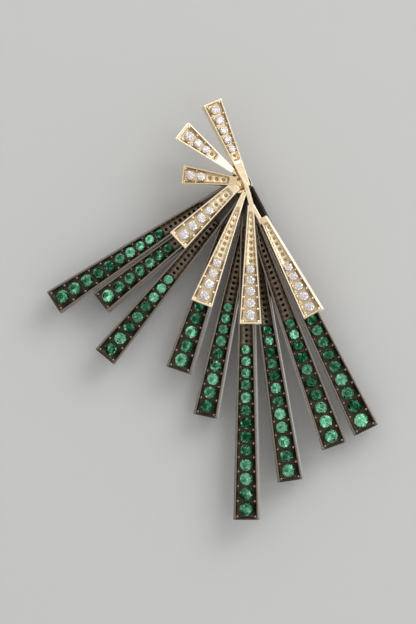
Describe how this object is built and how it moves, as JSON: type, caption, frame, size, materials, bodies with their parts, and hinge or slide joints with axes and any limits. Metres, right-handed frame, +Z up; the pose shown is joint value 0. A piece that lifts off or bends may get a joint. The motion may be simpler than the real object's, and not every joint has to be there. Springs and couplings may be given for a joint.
{
  "type": "dangle earring",
  "caption": "Sunburst earring: a fan of tapered blackened bars set with green stones under shorter gold bars set with clear stones, on a hub with a plain ear post.",
  "frame": {"origin": "middle of the round seat behind the hub that rests on the ear lobe, where the post leaves it", "axes": "+Z up along the longest bar as the earring hangs, front face towards -Y, ear post along +Y, +X to the right seen from the front"},
  "size_m": [0.0356, 0.0164, 0.045],
  "materials": {
    "blackened_gold": "black rhodium plated gold, polished",
    "pale_gold": "polished pale yellow gold",
    "post_gold": "polished yellow gold",
    "green_stone": "round cut green gemstone",
    "clear_stone": "round cut colourless gemstone"
  },
  "bodies": {
    "root": {"blackened_bars": "blackened_gold", "gold_bars": "pale_gold", "ear_post": "post_gold", "green_stones_1": "green_stone", "green_stones_2": "green_stone", "green_stones_3": "green_stone", "green_stones_4": "green_stone", "green_stones_5": "green_stone", "green_stones_6": "green_stone", "green_stones_7": "green_stone", "green_stones_8": "green_stone", "green_stones_9": "green_stone", "clear_stones_1": "clear_stone", "clear_stones_2": "clear_stone", "clear_stones_3": "clear_stone", "clear_stones_4": "clear_stone", "clear_stones_5": "clear_stone", "clear_stones_6": "clear_stone", "clear_stones_7": "clear_stone"}
  },
  "joints": []
}
